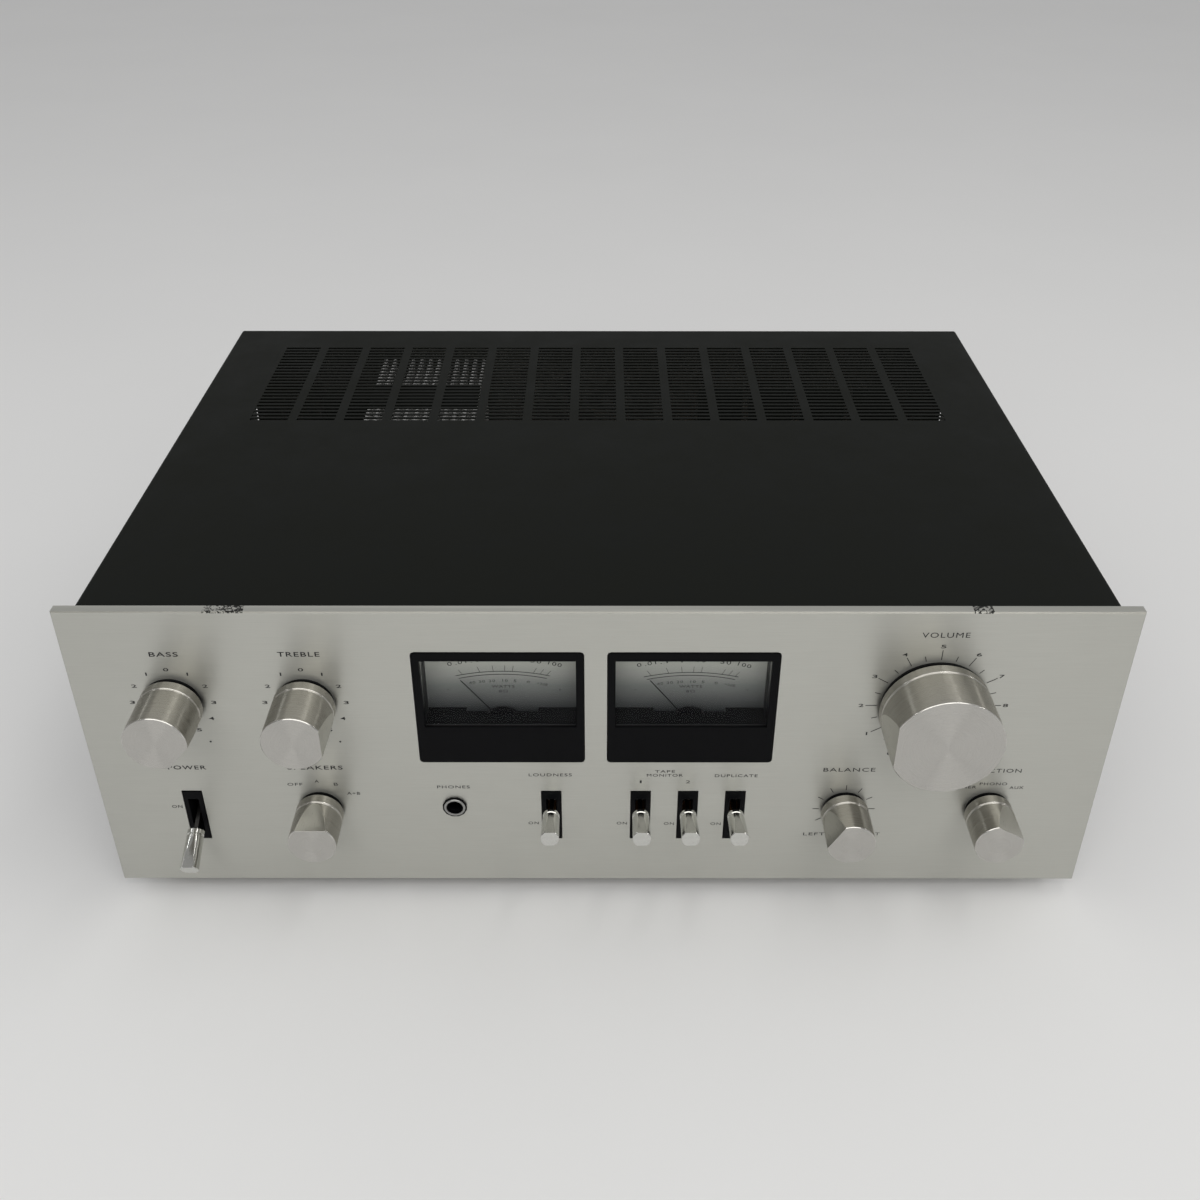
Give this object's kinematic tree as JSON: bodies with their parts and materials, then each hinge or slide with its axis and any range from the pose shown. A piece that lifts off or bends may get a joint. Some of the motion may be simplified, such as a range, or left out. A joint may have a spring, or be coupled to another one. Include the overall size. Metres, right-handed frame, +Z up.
{
  "type": "integrated_amplifier",
  "caption": "Integrated hi-fi amplifier: brushed aluminium front with turned knobs, lever switches and needle meters, under a matte black slotted bonnet",
  "frame": {"origin": "on the surface that the feet stand on, at the middle of the bounding box in X and Y", "axes": "+X to the object's right seen from the front, +Y to the rear, +Z up; the knobs face -Y"},
  "size_m": [0.42, 0.3264, 0.1505],
  "materials": {
    "brushed_panel": "brushed satin",
    "spun_knob": "spun",
    "lever_chrome": "polished",
    "bonnet_paint": "matte black",
    "zinc_steel": "zinc plated",
    "black_plastic": "satin",
    "clear_window": "clear",
    "dial_card": "printed",
    "bare_aluminium": "extruded",
    "board_laminate": "phenolic laminate",
    "core_iron": "varnished laminations",
    "capacitor_sleeve": "shrunk sleeve",
    "foot_rubber": "matte"
  },
  "bodies": {
    "case": {"front_panel": "brushed_panel", "top_cover": "bonnet_paint", "sub_panel": "zinc_steel", "chassis_base": "zinc_steel", "rear_panel": "zinc_steel", "volume_control": "zinc_steel", "balance_control": "zinc_steel", "power_bezel": "black_plastic", "loudness_bezel": "black_plastic", "tape_one_bezel": "black_plastic", "tape_two_bezel": "black_plastic", "duplicate_bezel": "black_plastic", "left_meter_bezel": "black_plastic", "right_meter_bezel": "black_plastic", "left_meter_movement": "black_plastic", "right_meter_movement": "black_plastic", "power_switch": "black_plastic", "phones_jack": "black_plastic", "input_jack_strip": "black_plastic", "speaker_terminals": "black_plastic", "outlet_block": "black_plastic", "cord_gland": "black_plastic", "left_meter_window": "clear_window", "right_meter_window": "clear_window", "left_meter_dial": "dial_card", "right_meter_dial": "dial_card", "rear_heat_sink": "bare_aluminium", "front_heat_sink": "bare_aluminium", "tone_control_board": "board_laminate", "lever_switch_board": "board_laminate", "speakers_switch": "board_laminate", "function_switch": "board_laminate", "power_amp_board": "board_laminate", "preamp_board": "board_laminate", "power_transformer": "core_iron", "left_filter_capacitor": "capacitor_sleeve", "right_filter_capacitor": "capacitor_sleeve", "foot_front_left": "foot_rubber", "foot_front_right": "foot_rubber", "foot_rear_left": "foot_rubber", "foot_rear_right": "foot_rubber"},
    "bass": {"bass_knob": "spun_knob", "bass_shaft": "zinc_steel"},
    "treble": {"treble_knob": "spun_knob", "treble_shaft": "zinc_steel"},
    "volume": {"volume_knob": "spun_knob", "volume_shaft": "zinc_steel"},
    "speakers": {"speakers_knob": "spun_knob", "speakers_shaft": "zinc_steel"},
    "balance": {"balance_knob": "spun_knob", "balance_shaft": "zinc_steel"},
    "function": {"function_knob": "spun_knob", "function_shaft": "zinc_steel"},
    "power_arm": {"power_lever": "lever_chrome"},
    "loudness_arm": {"loudness_lever": "lever_chrome"},
    "tape_one_arm": {"tape_one_lever": "lever_chrome"},
    "tape_two_arm": {"tape_two_lever": "lever_chrome"},
    "duplicate_arm": {"duplicate_lever": "lever_chrome"},
    "left_needle": {"left_meter_needle": "black_plastic"},
    "right_needle": {"right_meter_needle": "black_plastic"}
  },
  "joints": [
    {"name": "bass_turn", "type": "hinge", "parent": "case", "child": "bass", "pos_m": [-0.1704, -0.1357, 0.1068], "axis": [0, 1, 0], "range_deg": [-280, 20]},
    {"name": "treble_turn", "type": "hinge", "parent": "case", "child": "treble", "pos_m": [-0.1173, -0.1357, 0.1068], "axis": [0, 1, 0], "range_deg": [-240, 60]},
    {"name": "volume_turn", "type": "hinge", "parent": "case", "child": "volume", "pos_m": [0.1345, -0.1357, 0.1055], "axis": [0, 1, 0], "range_deg": [-60, 240]},
    {"name": "speakers_turn", "type": "hinge", "parent": "case", "child": "speakers", "pos_m": [-0.1177, -0.1357, 0.0499], "axis": [0, 1, 0], "range_deg": [-30, 60]},
    {"name": "balance_turn", "type": "hinge", "parent": "case", "child": "balance", "pos_m": [0.1043, -0.1357, 0.0499], "axis": [0, 1, 0], "range_deg": [-90, 210]},
    {"name": "function_turn", "type": "hinge", "parent": "case", "child": "function", "pos_m": [0.165, -0.1357, 0.0499], "axis": [0, 1, 0], "range_deg": [-60, 0]},
    {"name": "power_throw", "type": "hinge", "parent": "case", "child": "power_arm", "pos_m": [-0.1712, -0.1252, 0.0479], "axis": [1, 0, 0], "range_deg": [-35, 0]},
    {"name": "loudness_throw", "type": "hinge", "parent": "case", "child": "loudness_arm", "pos_m": [-0.0198, -0.1252, 0.0479], "axis": [1, 0, 0], "range_deg": [0, 35]},
    {"name": "tape_one_throw", "type": "hinge", "parent": "case", "child": "tape_one_arm", "pos_m": [0.0179, -0.1252, 0.0479], "axis": [1, 0, 0], "range_deg": [0, 35]},
    {"name": "tape_two_throw", "type": "hinge", "parent": "case", "child": "tape_two_arm", "pos_m": [0.0379, -0.1252, 0.0479], "axis": [1, 0, 0], "range_deg": [0, 35]},
    {"name": "duplicate_throw", "type": "hinge", "parent": "case", "child": "duplicate_arm", "pos_m": [0.0579, -0.1252, 0.0479], "axis": [1, 0, 0], "range_deg": [0, 35]},
    {"name": "left_needle_swing", "type": "hinge", "parent": "case", "child": "left_needle", "pos_m": [-0.0396, -0.1222, 0.0881], "axis": [0, 1, 0], "range_deg": [0, 76], "stiffness_Nm_per_rad": 0.0002, "springref_deg": -28.65},
    {"name": "right_needle_swing", "type": "hinge", "parent": "case", "child": "right_needle", "pos_m": [0.0377, -0.1222, 0.0881], "axis": [0, 1, 0], "range_deg": [0, 76], "stiffness_Nm_per_rad": 0.0002, "springref_deg": -28.65}
  ]
}
